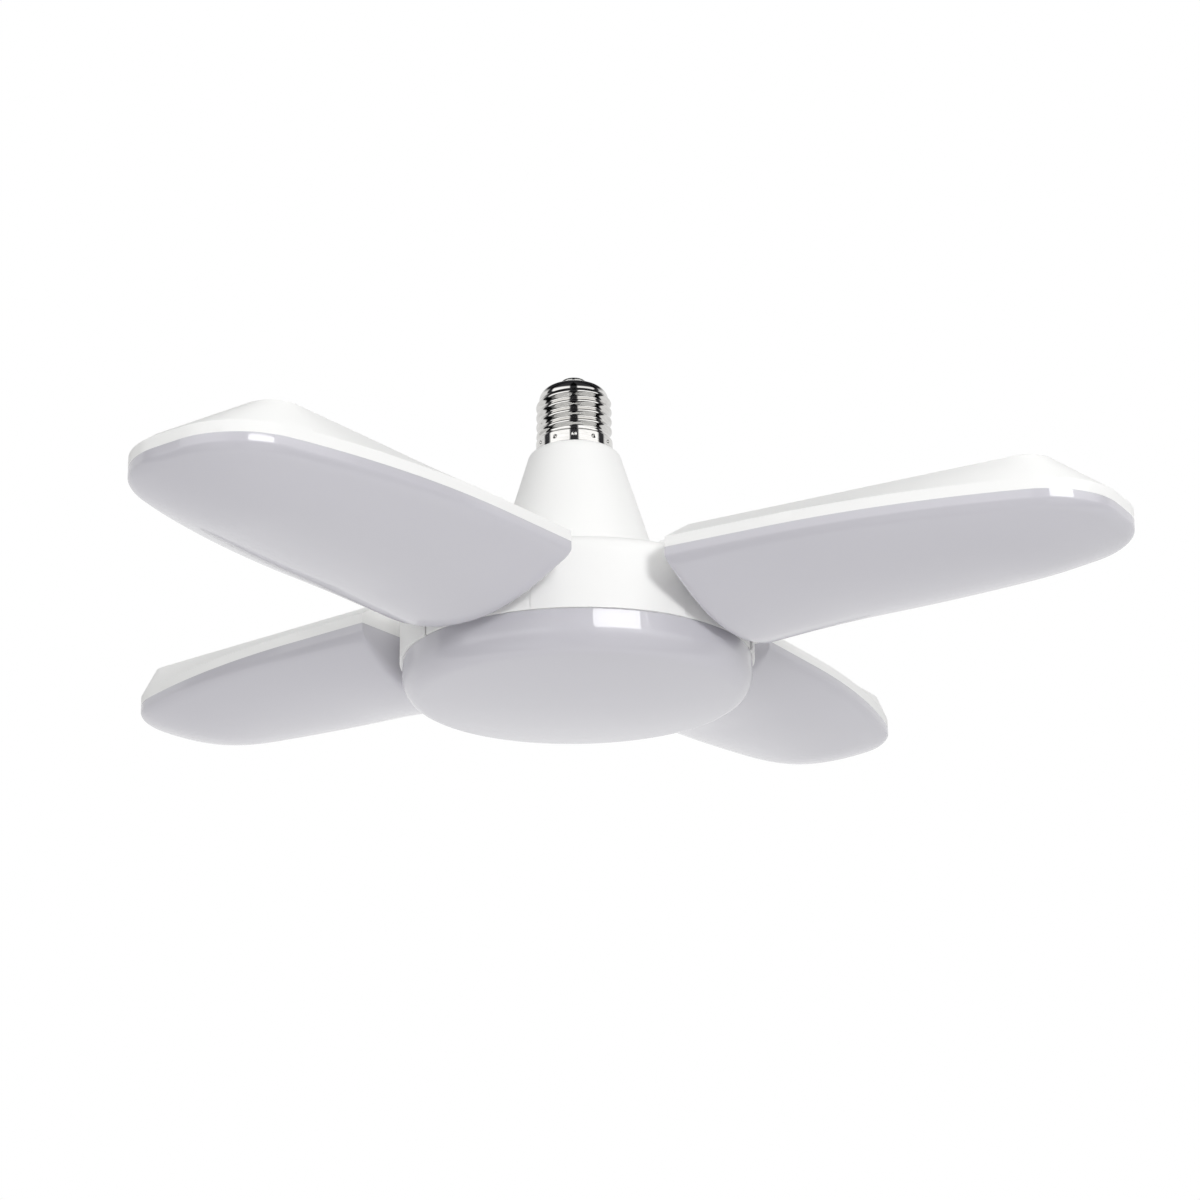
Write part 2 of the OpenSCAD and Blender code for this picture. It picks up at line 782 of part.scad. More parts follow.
module petal_leads(k) {
    color("firebrick") on_petal(k)
        for (s = [-1, 1])
            lead([[hinge_u - barrel_r + 2.4, s * 1.1 * lead_r, lead_z],
                [root_u + 6, s * 1.1 * lead_r, lead_z],
                [root_u + 6, s * 1.1 * lead_r, board_z + board_t]]);
}

module petal_part(k, p) {
    if (p == "housing") petal_housing(k);
    if (p == "diffuser") petal_diffuser(k);
    if (p == "board") petal_board(k);
    if (p == "leds") petal_leds(k);
    if (p == "screws") petal_screws(k);
    if (p == "washers") petal_washers(k);
    if (p == "leads") petal_leads(k);
}

screw_shell();
cap_insulator();
centre_contact();
neck_housing();
neck_screws();
hub_housing();
hinge_pins();
hinge_nuts();
driver_board();
driver_transformer();
driver_capacitors();
driver_bridge();
live_lead();
neutral_lead();
petal_feed_leads();
heat_plate();
centre_board();
centre_leds();
plate_screws();
centre_lens();
for (k = petal_numbers)
    for (p = PETAL_PARTS)
        petal_part(k, p);
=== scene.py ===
import bpy
import bmesh
import json
import math
import numpy as np
from mathutils import Matrix, Vector

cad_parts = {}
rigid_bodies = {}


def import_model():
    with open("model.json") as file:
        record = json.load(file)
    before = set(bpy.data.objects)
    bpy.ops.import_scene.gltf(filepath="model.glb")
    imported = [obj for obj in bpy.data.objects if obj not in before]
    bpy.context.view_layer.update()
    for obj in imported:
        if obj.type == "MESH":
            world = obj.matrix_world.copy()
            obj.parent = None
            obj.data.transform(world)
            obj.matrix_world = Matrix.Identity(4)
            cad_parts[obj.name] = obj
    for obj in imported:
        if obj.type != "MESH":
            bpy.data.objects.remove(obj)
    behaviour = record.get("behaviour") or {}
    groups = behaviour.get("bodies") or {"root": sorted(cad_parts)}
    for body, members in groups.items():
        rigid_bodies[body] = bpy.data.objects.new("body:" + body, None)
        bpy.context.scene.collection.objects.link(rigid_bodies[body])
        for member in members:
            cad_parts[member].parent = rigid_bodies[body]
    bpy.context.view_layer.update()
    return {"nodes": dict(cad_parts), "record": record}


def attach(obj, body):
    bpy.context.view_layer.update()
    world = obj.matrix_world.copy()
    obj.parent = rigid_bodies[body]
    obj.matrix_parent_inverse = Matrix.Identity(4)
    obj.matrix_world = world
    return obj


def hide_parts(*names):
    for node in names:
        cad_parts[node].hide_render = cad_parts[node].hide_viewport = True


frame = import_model()
scene = bpy.context.scene

# Shapes are worked out in millimetres. Heights of the hub, lens and petals are above the plane
# where the lens meets the hub, as in the part's source, and are then lowered by NECK_TOP into the
# shared frame, which starts at the foot of the screw cap. Angles to all sides start at +X.
MM = 0.001
NECK_TOP = 76.0                             # height of the cap's foot above the lens plane
HUB_R = 59.4                                # outer radius of the hub drum
HINGE_U, HINGE_Z = 45.5, 16.0               # a hinge's distance from the axis, and its height
DROOPS = {1: 2.4, 2: 1.6, 3: 1.7, 4: 1.4}   # degrees that each opened petal hangs below level

CAMERA_SIDE = math.radians(-55.51)          # direction from the lamp's axis to the camera, in plan
TOWARD = Vector((math.cos(CAMERA_SIDE), math.sin(CAMERA_SIDE), 0))
RIGHT = Vector((-TOWARD.y, TOWARD.x, 0))


# ---------------------------------------------------------------- camera

def add_camera():
    """The photograph's camera, below the plane of the petals and looking up at the lens plane."""
    picture_px, focal_px, centre_x_px, centre_y_px = 1200, 2106.6, 577.36, 664.75
    distance, elevation, roll = 0.706, math.radians(17.58), math.radians(-0.786)
    target = Vector((0, 0, -NECK_TOP)) * MM
    place = target + TOWARD * distance * math.cos(elevation)
    place -= Vector((0, 0, distance * math.sin(elevation)))
    data = bpy.data.cameras.new("camera")
    data.sensor_width = 36
    data.lens = focal_px / picture_px * data.sensor_width
    data.shift_x = (picture_px / 2 - centre_x_px) / picture_px
    data.shift_y = (centre_y_px - picture_px / 2) / picture_px
    data.clip_start = 0.01
    data.clip_end = 60
    camera = bpy.data.objects.new("camera", data)
    look = (target - place).to_track_quat("-Z", "Y").to_matrix().to_4x4()
    camera.matrix_world = Matrix.Translation(place) @ look @ Matrix.Rotation(roll, 4, "Z")
    scene.collection.objects.link(camera)
    scene.camera = camera


add_camera()
scene.view_settings.view_transform = "Standard"


# ---------------------------------------------------------------- materials

NOISE_LOW, NOISE_HIGH = 0.3, 0.7    # most values of a noise texture lie between these


def new_material(name):
    """A material with one Principled shader: the material, its node tree and the shader."""
    mat = bpy.data.materials.new(name)
    mat.use_nodes = True
    tree = mat.node_tree
    tree.nodes.clear()
    out = tree.nodes.new("ShaderNodeOutputMaterial")
    bsdf = tree.nodes.new("ShaderNodeBsdfPrincipled")
    tree.links.new(bsdf.outputs[0], out.inputs[0])
    return mat, tree, bsdf


def noise(tree, scale, detail, rough=0.5, stretch=None):
    """Noise that sticks to the object, drawn out into lines where it is stretched."""
    coord = tree.nodes.new("ShaderNodeTexCoord")
    texture = tree.nodes.new("ShaderNodeTexNoise")
    texture.inputs["Scale"].default_value = scale
    texture.inputs["Detail"].default_value = detail
    texture.inputs["Roughness"].default_value = rough
    where = coord.outputs["Object"]
    if stretch:
        mapping = tree.nodes.new("ShaderNodeMapping")
        mapping.inputs["Scale"].default_value = stretch
        tree.links.new(where, mapping.inputs["Vector"])
        where = mapping.outputs[0]
    tree.links.new(where, texture.inputs["Vector"])
    return texture.outputs["Fac"]


def ramp(tree, factor, stops):
    """Colours along a factor from 0 to 1, given as (place, colour) stops."""
    node = tree.nodes.new("ShaderNodeValToRGB")
    elements = node.color_ramp.elements
    while len(elements) < len(stops):
        elements.new(0.5)
    for element, (at, colour) in zip(elements, stops):
        element.position = at
        element.color = (*colour, 1)
    tree.links.new(factor, node.inputs[0])
    return node.outputs[0]


def spread(tree, factor, low, high):
    """A noise factor brought into the range from low to high."""
    node = tree.nodes.new("ShaderNodeMapRange")
    node.inputs["From Min"].default_value = NOISE_LOW
    node.inputs["From Max"].default_value = NOISE_HIGH
    node.inputs["To Min"].default_value = low
    node.inputs["To Max"].default_value = high
    tree.links.new(factor, node.inputs[0])
    return node.outputs[0]


def bump(tree, bsdf, height, strength, distance):
    node = tree.nodes.new("ShaderNodeBump")
    node.inputs["Strength"].default_value = strength
    node.inputs["Distance"].default_value = distance
    tree.links.new(height, node.inputs["Height"])
    tree.links.new(node.outputs[0], bsdf.inputs["Normal"])


def plastic(name, light, dark, rough, grain=1400, grain_depth=0.00002, coat=0.0, coat_rough=0.08,
            specular=0.5):
    """Moulded plastic: faint clouds of two tones and a fine grain, glossier with a coat."""
    mat, tree, bsdf = new_material(name)
    clouds = noise(tree, scale=9, detail=2)
    tones = ramp(tree, clouds, [(NOISE_LOW, dark), (NOISE_HIGH, light)])
    tree.links.new(tones, bsdf.inputs["Base Color"])
    fine = noise(tree, scale=grain, detail=4, rough=0.6)
    tree.links.new(spread(tree, fine, *rough), bsdf.inputs["Roughness"])
    bump(tree, bsdf, fine, strength=0.25, distance=grain_depth)
    bsdf.inputs["Specular IOR Level"].default_value = specular
    bsdf.inputs["Coat Weight"].default_value = coat
    bsdf.inputs["Coat Roughness"].default_value = coat_rough
    return mat


def metal(name, light, dark, rough, scratch=90, stretch=(1, 1, 14)):
    """Bare or plated metal with fine drawn lines."""
    mat, tree, bsdf = new_material(name)
    lines = noise(tree, scale=scratch, detail=5, rough=0.6, stretch=stretch)
    tones = ramp(tree, lines, [(NOISE_LOW, dark), (NOISE_HIGH, light)])
    tree.links.new(tones, bsdf.inputs["Base Color"])
    tree.links.new(spread(tree, lines, *rough), bsdf.inputs["Roughness"])
    bsdf.inputs["Metallic"].default_value = 1
    bump(tree, bsdf, lines, strength=0.1, distance=0.00002)
    return mat


WHITE = plastic("white_housing", (0.945, 0.945, 0.935), (0.925, 0.925, 0.915), rough=(0.42, 0.5))
MILK = plastic("milk_diffuser", (0.607, 0.598, 0.643), (0.592, 0.583, 0.628), rough=(0.40, 0.46),
               grain=900, grain_depth=0.000004, coat=1.0, coat_rough=0.03, specular=0.2)
NICKEL = metal("cap_metal", (0.80, 0.79, 0.77), (0.66, 0.65, 0.63), rough=(0.04, 0.1),
               scratch=260, stretch=(1, 1, 6))
TIN = metal("contact_metal", (0.75, 0.75, 0.73), (0.6, 0.6, 0.58), rough=(0.18, 0.3))
STEEL = metal("steel", (0.66, 0.66, 0.67), (0.5, 0.5, 0.51), rough=(0.2, 0.35))
SHEET = metal("aluminium", (0.82, 0.82, 0.83), (0.7, 0.7, 0.71), rough=(0.3, 0.45),
              scratch=60, stretch=(14, 1, 1))
CERAMIC = plastic("cap_insulator", (0.9, 0.9, 0.88), (0.86, 0.86, 0.84), rough=(0.12, 0.2), coat=0.4)
BOARD = plastic("lamp_board", (0.9, 0.9, 0.89), (0.85, 0.85, 0.84), rough=(0.35, 0.45))
PHOSPHOR = plastic("led_phosphor", (0.93, 0.85, 0.42), (0.88, 0.78, 0.33), rough=(0.3, 0.4))
GREEN = plastic("circuit_board", (0.08, 0.32, 0.15), (0.06, 0.26, 0.12), rough=(0.3, 0.4))
YELLOW = plastic("transformer_wrap", (0.85, 0.66, 0.12), (0.75, 0.57, 0.1), rough=(0.35, 0.45))
SLEEVE = plastic("capacitor_sleeve", (0.06, 0.06, 0.08), (0.04, 0.04, 0.05), rough=(0.25, 0.35))
EPOXY = plastic("black_epoxy", (0.04, 0.04, 0.04), (0.03, 0.03, 0.03), rough=(0.4, 0.5))
RED = plastic("red_lead", (0.55, 0.05, 0.04), (0.45, 0.04, 0.03), rough=(0.35, 0.45))
BLUE = plastic("blue_lead", (0.07, 0.15, 0.45), (0.05, 0.12, 0.38), rough=(0.35, 0.45))

BY_SLOT = {
    "white_housing": WHITE, "milk_diffuser": MILK, "cap_metal": NICKEL, "contact_metal": TIN,
    "steel": STEEL, "aluminium": SHEET, "cap_insulator": CERAMIC, "lamp_board": BOARD,
    "led_phosphor": PHOSPHOR, "circuit_board": GREEN, "transformer_wrap": YELLOW,
    "capacitor_sleeve": SLEEVE, "black_epoxy": EPOXY, "red_lead": RED, "blue_lead": BLUE}


def paint_cad_nodes():
    """Give every CAD node the material of its slot."""
    for part in frame["record"]["subparts"]:
        mat = BY_SLOT[part["material_slot"]]
        materials = frame["nodes"][part["node"]].data.materials
        if not materials:
            materials.append(mat)
        for i in range(len(materials)):
            materials[i] = mat


paint_cad_nodes()


# ---------------------------------------------------------------- mesh helpers

JOIN_WITHIN = 1e-6      # points of a mesh that lie closer together than this, in metres, are joined


def make_object(name, verts, faces, mat):
    """A mesh object from points in millimetres, with its faces turned outwards."""
    mesh = bpy.data.meshes.new(name)
    mesh.from_pydata([tuple(c * MM for c in v) for v in verts], [], faces)
    mesh.validate()
    bm = bmesh.new()
    bm.from_mesh(mesh)
    bmesh.ops.remove_doubles(bm, verts=bm.verts, dist=JOIN_WITHIN)
    bmesh.ops.recalc_face_normals(bm, faces=bm.faces)
    bm.to_mesh(mesh)
    bm.free()
    mesh.materials.append(mat)
    obj = bpy.data.objects.new(name, mesh)
    scene.collection.objects.link(obj)
    return obj


def add_row(verts, points):
    """Add a row of points to a mesh's points, and return the row as their numbers."""
    verts += points
    return list(range(len(verts) - len(points), len(verts)))


def join_rows(rows, closed):
    """Four-sided faces between neighbouring rows. A closed row's last point meets its first."""
    faces = []
    for a, b in zip(rows, rows[1:]):
        for i in range(len(a) if closed else len(a) - 1):
            j = (i + 1) % len(a)
            faces.append((a[i], b[i], b[j], a[j]))
    return faces


def ring_points(radii, z):
    """Points round the lamp's axis at one height, evenly spaced, one for each of the radii."""
    points = []
    for i, r in enumerate(radii):
        angle = 2 * math.pi * i / len(radii)
        points.append((r * math.cos(angle), r * math.sin(angle), z))
    return points


def smooth_by_angle(obj, degrees):
    obj.data.shade_smooth()
    obj.data.set_sharp_from_angle(angle=math.radians(degrees))


def apply_bevel(obj, width, segments, degrees):
    """Round the edges that are sharper than an angle, and keep the rounded mesh."""
    modifier = obj.modifiers.new("bevel", "BEVEL")
    modifier.width = width * MM
    modifier.segments = segments
    modifier.limit_method = "ANGLE"
    modifier.angle_limit = math.radians(degrees)
    modifier.use_clamp_overlap = True
    bpy.context.view_layer.update()
    depsgraph = bpy.context.evaluated_depsgraph_get()
    rounded = bpy.data.meshes.new_from_object(obj.evaluated_get(depsgraph))
    obj.modifiers.clear()
    plain = obj.data
    obj.data = rounded
    bpy.data.meshes.remove(plain)


# ---------------------------------------------------------------- petals

# plan of a level petal: u is the distance from the lamp's axis and v the distance from its middle
ROOT_U, TIP_U, HALF = 60.5, 191.3, 40.0
SIDE_U = 94.2                           # the sides are straight up to here, and curve in after it
TIP_R, CORNER_V = 25.1, 4.55            # radius of the tip's corners, and their centres' place
CORNER_U = TIP_U - TIP_R
SIDE_DROP = HALF - CORNER_V
SIDE_R = ((CORNER_U - SIDE_U) ** 2 + SIDE_DROP ** 2 - TIP_R ** 2) / (2 * (SIDE_DROP - TIP_R))
EDGE_U = SIDE_U + SIDE_R / (SIDE_R - TIP_R) * (CORNER_U - SIDE_U)   # a side meets its corner here

# how finely the skins are drawn: steps along the petal, and across it
SIDE_STATIONS = 26
ROOT_STEPS = (0, 0.12, 0.35, 0.7, 1.2, 1.8, 2.6, 3.6, 5, 6.5, 8, 10, 13, 17, 22, 28)
STRAIGHT_STATIONS = (ROOT_U, 66, 72, 79, 86)
DIFFUSER_TIP_STATIONS, HOUSING_TIP_STATIONS = 22, 14
DIFFUSER_COLUMNS = 26                   # on each side of the middle
SWEEP_ROWS, BARREL_STEPS = 25, 32

# heights of the housing above the seam, and its flat back
SEAM_Z = 16.9
EDGE_H, BACK_H = 3.4, 11.8
BACK_HALF, BACK_END, BACK_ROUND = 26.0, TIP_U - 13.4, 9.0
RIDGE_U = 150                           # up to here the slope runs straight in to the back's edge

# the diffuser below the seam: an upright wall, and a crown that is deepest at the root
WALL_H = 4.0
CROWN, CROWN_RISE, CROWN_POWER = 12.7, 4.9, 2.1
TIP_REACH = 36.0                        # the crown rises to the wall over this length at the tip
ROOT_REACH, ROOT_POWER = 6.0, 4         # and over this length at the root, much steeper
ROOT_SAG, ROOT_SAG_REACH, ROOT_SAG_POWER = 2.8, 38.0, 1.3
EDGE_ROUND, EDGE_RISE = 3.2, 1.7        # width and height of the rounding at the crown's edge
RIM_MIDDLE_U, RIM_ALONG, RIM_ACROSS = 125, 0.95, 0.93   # the rim is the outline, shrunk to these

# the knuckle: barrel, arm and foot
KNUCKLE_HALF, FOOT_HALF, BARREL_R = 20.0, 20.85, 11.5
FOOT_BACK_U = 54.6                      # the foot reaches from here to the hub's wall
ARM_TOP = SEAM_Z + BACK_H - 0.8
ARM_BACK = 0.6                          # the arm's top starts this far outside the hinge
ARM_LAP = 0.5                           # the arm reaches this far into the housing's root
SEAM_LAP = 0.3                          # arm and foot meet this far above the seam
FOOT_GAP = 0.08                         # the foot clears the lens plane by this much
HUB_GAP = 0.1                           # knuckle and foot stay this far inside the hub's wall


def half_width(u):
    """Half the petal's width: straight sides, curved sides, then the tip's round corners."""
    if u <= SIDE_U:
        return HALF
    if u <= EDGE_U:
        return math.sqrt(SIDE_R ** 2 - (u - SIDE_U) ** 2) - (SIDE_R - HALF)
    return CORNER_V + math.sqrt(max(TIP_R ** 2 - (u - CORNER_U) ** 2, 0))


def curved_stations(tip_count):
    """Distances along the curved sides, then round the tip's corners by even angles."""
    sides = list(np.linspace(SIDE_U, EDGE_U, SIDE_STATIONS))
    turns = np.linspace(math.asin((EDGE_U - CORNER_U) / TIP_R), math.pi / 2, tip_count)
    return sides[:-1] + [CORNER_U + TIP_R * math.sin(turn) for turn in turns]


def stations():
    """Distances along a diffuser, closer together at its ends."""
    return [ROOT_U + step for step in ROOT_STEPS] + curved_stations(DIFFUSER_TIP_STATIONS)


def columns(count):
    """Shares of the half width from one side to the other, closer together at the sides."""
    return [math.sin(math.pi / 2 * i / count) for i in range(-count, count + 1)]


OUTLINE = np.array([(u, half_width(u)) for u in stations()] + [(TIP_U, 0)])


def edge_distance(u, v):
    """Distance from a point of the plan to the outline of sides and tip."""
    least = 1e-12       # keeps the division safe where two points of the outline coincide
    p = np.array((u, abs(v)))
    a, b = OUTLINE[:-1], OUTLINE[1:]
    d = b - a
    t = np.clip(((p - a) * d).sum(1) / np.maximum((d * d).sum(1), least), 0, 1)
    return float(np.sqrt((((a + d * t[:, None]) - p) ** 2).sum(1)).min())


def place_on_petal(k, u, v, z):
    """A point of the level petal, hung by its droop and turned to its side of the hub."""
    droop = math.radians(DROOPS[k])
    du, dz = u - HINGE_U, z - HINGE_Z
    hung_u = HINGE_U + du * math.cos(droop) + dz * math.sin(droop)
    hung_z = HINGE_Z - du * math.sin(droop) + dz * math.cos(droop)
    side = math.radians(90 * (k - 1))
    return (hung_u * math.cos(side) - v * math.sin(side),
            hung_u * math.sin(side) + v * math.cos(side),
            hung_z - NECK_TOP)


def petal_object(k, name, verts, faces, mat):
    """A mesh object from points of the level petal."""
    placed = [place_on_petal(k, *p) for p in verts]
    return make_object(f"petal_{k}_{name}", placed, faces, mat)


def crown_height(u, v, half):
    """Height of the diffuser's surface at a point of the plan, where it is twice half wide."""
    across = min(abs(v) / half, 1)
    share = (u - ROOT_U) / (TIP_U - ROOT_U)
    tip = 1 - max(1 - (TIP_U - u) / TIP_REACH, 0) ** CROWN_POWER
    root = (1 - (1 - min((u - ROOT_U) / ROOT_REACH, 1)) ** ROOT_POWER) ** (1 / ROOT_POWER)
    sag = ROOT_SAG * max(1 - (u - ROOT_U) / ROOT_SAG_REACH, 0) ** ROOT_SAG_POWER
    drop = (CROWN - CROWN_RISE * share + sag) * tip * root * (1 - across ** CROWN_POWER)
    inside = min(edge_distance(u, v) / EDGE_ROUND, 1)
    rise = EDGE_RISE * (1 - math.sqrt(1 - (1 - inside) ** 2))
    return SEAM_Z - WALL_H - drop + rise


def diffuser(k):
    """A petal's milky cover: crown, upright wall and a rim turned in under the housing."""
    verts, rows = [], []
    for u in stations():
        half = half_width(u)
        row = [(u, half * t, crown_height(u, half * t, half)) for t in columns(DIFFUSER_COLUMNS)]
        rows.append(add_row(verts, row))
    faces = join_rows(rows, closed=False)
    # once round the crown's outline: along the root, one side, the tip and the other side
    ring = rows[0] + [row[-1] for row in rows[1:]]
    ring += rows[-1][-2::-1] + [row[0] for row in rows[-2:0:-1]]
    outline = [verts[i][:2] for i in ring]
    seam = add_row(verts, [(u, v, SEAM_Z) for u, v in outline])
    rim = add_row(verts, [(RIM_MIDDLE_U + (u - RIM_MIDDLE_U) * RIM_ALONG, v * RIM_ACROSS, SEAM_Z)
                          for u, v in outline])
    faces += join_rows([ring, seam, rim], closed=True)
    obj = petal_object(k, "diffuser_skin", verts, faces, MILK)
    smooth_by_angle(obj, degrees=50)
    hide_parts(f"petal_{k}_diffuser")
    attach(obj, f"petal_{k}")


def back_edge(u):
    """The point on the edge of the housing's flat back that belongs to an outline point."""
    corner = BACK_END - BACK_ROUND
    if u <= RIDGE_U:
        return u, BACK_HALF
    if u <= CORNER_U:
        share = (u - RIDGE_U) / (CORNER_U - RIDGE_U)
        return RIDGE_U + share * (corner - RIDGE_U), BACK_HALF
    turn = math.asin(min((u - CORNER_U) / TIP_R, 1))
    return corner + BACK_ROUND * math.sin(turn), BACK_HALF - BACK_ROUND * (1 - math.cos(turn))


def housing_half(verts, side):
    """Rows of points over one half of a housing, each from the seam up to the back's middle."""
    edge_z, back_z = SEAM_Z + EDGE_H, SEAM_Z + BACK_H
    rows = []
    for u in [*STRAIGHT_STATIONS, *curved_stations(HOUSING_TIP_STATIONS)]:
        half = half_width(u)
        back_u, back_v = back_edge(u)
        row = [(u, side * half, SEAM_Z), (u, side * half, edge_z)]
        for t in (0.25, 0.5, 0.75):
            row.append((u + (back_u - u) * t, side * (half + (back_v - half) * t),
                        edge_z + (back_z - edge_z) * t))
        row += [(back_u, side * back_v * t, back_z) for t in (1, 0.5, 0)]
        rows.append(add_row(verts, row))
    return rows


def housing(k):
    """A petal's white shell: upright edge, slope and flat back, with rounded edges."""
    verts = []
    left = housing_half(verts, 1)
    right = housing_half(verts, -1)
    faces = join_rows(left, closed=False) + join_rows(right, closed=False)
    # the tip between the two corners, the root's end and the seam's face
    faces += join_rows([left[-1][:-1], right[-1][:-1]], closed=False)
    faces.append(tuple(left[0] + right[0][-2::-1]))
    faces.append(tuple([row[0] for row in left] + [row[0] for row in reversed(right)]))
    obj = petal_object(k, "housing_shell", verts, faces, WHITE)
    apply_bevel(obj, width=0.9, segments=4, degrees=24)
    smooth_by_angle(obj, degrees=35)
    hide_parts(f"petal_{k}_housing")
    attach(obj, f"petal_{k}")


def foot_z(k, u):
    """Height of a level petal's foot that lies just above the lens plane when the petal hangs."""
    return FOOT_GAP + (u - HINGE_U) * math.tan(math.radians(DROOPS[k]))


def sweep_across(k, name, section, half, back_u):
    """A section in the petal's middle plane, swept to both sides and closed by the hub's wall."""
    verts, rows = [], []
    for v in np.linspace(-half, half, SWEEP_ROWS):
        face_u = math.sqrt((HUB_R - HUB_GAP) ** 2 - v * v)
        row = [(u, v, z) for u, z in section]
        row += [(face_u, v, SEAM_Z + SEAM_LAP), (face_u, v, foot_z(k, face_u)),
                (back_u, v, foot_z(k, back_u))]
        if not section:
            row.append((back_u, v, SEAM_Z + SEAM_LAP))
        rows.append(add_row(verts, row))
    faces = join_rows(rows, closed=True)
    faces.append(tuple(rows[0]))
    faces.append(tuple(reversed(rows[-1])))
    obj = petal_object(k, name, verts, faces, WHITE)
    apply_bevel(obj, width=0.4, segments=3, degrees=40)
    smooth_by_angle(obj, degrees=35)
    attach(obj, f"petal_{k}")


def knuckle(k):
    """A petal's hinge barrel with its arm, and the foot that fills the mouth of the hub's bay."""
    section = []
    # the barrel from its lowest point, round the side towards the axis, up to the arm
    for i in range(BARREL_STEPS + 1):
        angle = math.radians(-90 - 180 * i / BARREL_STEPS)
        section.append((HINGE_U + BARREL_R * math.cos(angle), HINGE_Z + BARREL_R * math.sin(angle)))
    section += [(HINGE_U + ARM_BACK, ARM_TOP), (ROOT_U + ARM_LAP, ARM_TOP),
                (ROOT_U + ARM_LAP, SEAM_Z + SEAM_LAP)]
    sweep_across(k, "knuckle", section, KNUCKLE_HALF, HINGE_U)
    sweep_across(k, "chin", [], FOOT_HALF, FOOT_BACK_U)


for k in DROOPS:
    housing(k)
    knuckle(k)
    diffuser(k)


# ---------------------------------------------------------------- centre lens

def centre_lens():
    """The lens as one smooth turned shell: lip, upright wall, round corner and shallow crown."""
    lens_r, depth, round_r, crown_r = 58.5, 17.5, 8.0, 313.0
    lip, lip_depth = 1.8, 1.5
    steps, wall_rows, corner_rows, crown_rows = 256, 6, 24, 24
    crown_z = crown_r - depth
    corner_u = lens_r - round_r
    corner_z = crown_z - math.sqrt((crown_r - round_r) ** 2 - corner_u ** 2)
    meet = math.asin(corner_u / (crown_r - round_r))
    section = [(lens_r - lip, -lip_depth), (lens_r - lip, 0), (lens_r, 0)]
    section += [(lens_r, z) for z in np.linspace(-lip_depth, corner_z, wall_rows)]
    for a in np.linspace(0, math.pi / 2 - meet, corner_rows)[1:]:
        section.append((corner_u + round_r * math.cos(a), corner_z - round_r * math.sin(a)))
    for a in np.linspace(meet, 0, crown_rows)[1:]:
        section.append((crown_r * math.sin(a), crown_z - crown_r * math.cos(a)))
    verts = []
    rows = [add_row(verts, ring_points([r] * steps, z - NECK_TOP)) for r, z in section[:-1]]
    faces = join_rows(rows, closed=True)
    lowest = len(verts)
    verts.append((0, 0, section[-1][1] - NECK_TOP))
    faces += [(rows[-1][i], rows[-1][(i + 1) % steps], lowest) for i in range(steps)]
    obj = make_object("centre_lens_shell", verts, faces, MILK)
    smooth_by_angle(obj, degrees=40)
    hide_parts("centre_lens")
    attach(obj, "hub")


centre_lens()


# ---------------------------------------------------------------- screw shell

# heights are above the cap's foot
SKIRT_R, SKIRT_H = 13.3, 4.6
CREST_R, CORE_R, PITCH, TURNS = 13.15, 12.1, 3.629, 4
DOME_H, DOME_R, DOME_HOLE_R, DOME_LIP = 5.3, 4.3, 7.5, 0.4
SHELL_TOP = SKIRT_H + TURNS * PITCH + DOME_H
THREAD_START, THREAD_END = SKIRT_H + 0.5, SHELL_TOP - DOME_R
THREAD_VALLEY = 6.3                     # height of a valley on the +X side
THREAD_FADE = 1.2                       # the thread rises from the core over this height
THREAD_POWER = 0.9                      # below 1 the crests are fuller than a sine wave's
DIMPLES, DIMPLE_Z, DIMPLE_R, DIMPLE_DEPTH = 12, 2.3, 0.95, 0.5


def shell_profile():
    """The shell's section from its foot up: skirt, the thread's core and the round dome."""
    foot_round, dimples_from, dimples_to = 0.15, 0.5, SKIRT_H - 0.6
    skirt_rows, rows_per_turn, dome_steps = 20, 18, 16
    profile = [(SKIRT_R - foot_round, 0.0), (SKIRT_R, foot_round)]
    profile += [(SKIRT_R, z) for z in np.linspace(dimples_from, dimples_to, skirt_rows)]
    # the skirt's shoulder, and the hollow above it
    profile += [(SKIRT_R - inset, SKIRT_H - drop)
                for inset, drop in ((0.03, 0.35), (0.25, 0.1), (0.6, 0))]
    profile += [(CORE_R + outset, SKIRT_H + rise)
                for outset, rise in ((0.35, 0.05), (0.1, 0.25))]
    thread_rows = int((THREAD_END - THREAD_START) / PITCH * rows_per_turn)
    profile += [(CORE_R, z) for z in np.linspace(THREAD_START, THREAD_END, thread_rows)]
    for i in range(1, dome_steps + 1):
        a = math.radians(90 * i / dome_steps)
        profile.append((CORE_R - DOME_R + DOME_R * math.cos(a), THREAD_END + DOME_R * math.sin(a)))
    return profile + [(DOME_HOLE_R, SHELL_TOP), (DOME_HOLE_R, SHELL_TOP - DOME_LIP)]


def shell_radius(r, z, angle):
    """A radius of the section, with the right-hand thread or a punched dimple added to it."""
    if THREAD_START <= z <= THREAD_END:
        turn = (z - THREAD_VALLEY) / PITCH - angle / (2 * math.pi)
        wave = 0.5 - 0.5 * math.cos(2 * math.pi * turn)
        fade = min(1, (z - THREAD_START) / THREAD_FADE, (THREAD_END - z) / THREAD_FADE)
        return CORE_R + (CREST_R - CORE_R) * max(fade, 0) * wave ** THREAD_POWER
    if z < SKIRT_H:
        # the dimples stand evenly round the skirt, and one of them faces the camera
        step = 2 * math.pi / DIMPLES
        across = ((angle - CAMERA_SIDE + step / 2) % step - step / 2) * SKIRT_R
        away = math.hypot(across, z - DIMPLE_Z) / DIMPLE_R
        if away < 1:
            return r - DIMPLE_DEPTH * (1 + math.cos(math.pi * away)) / 2
    return r


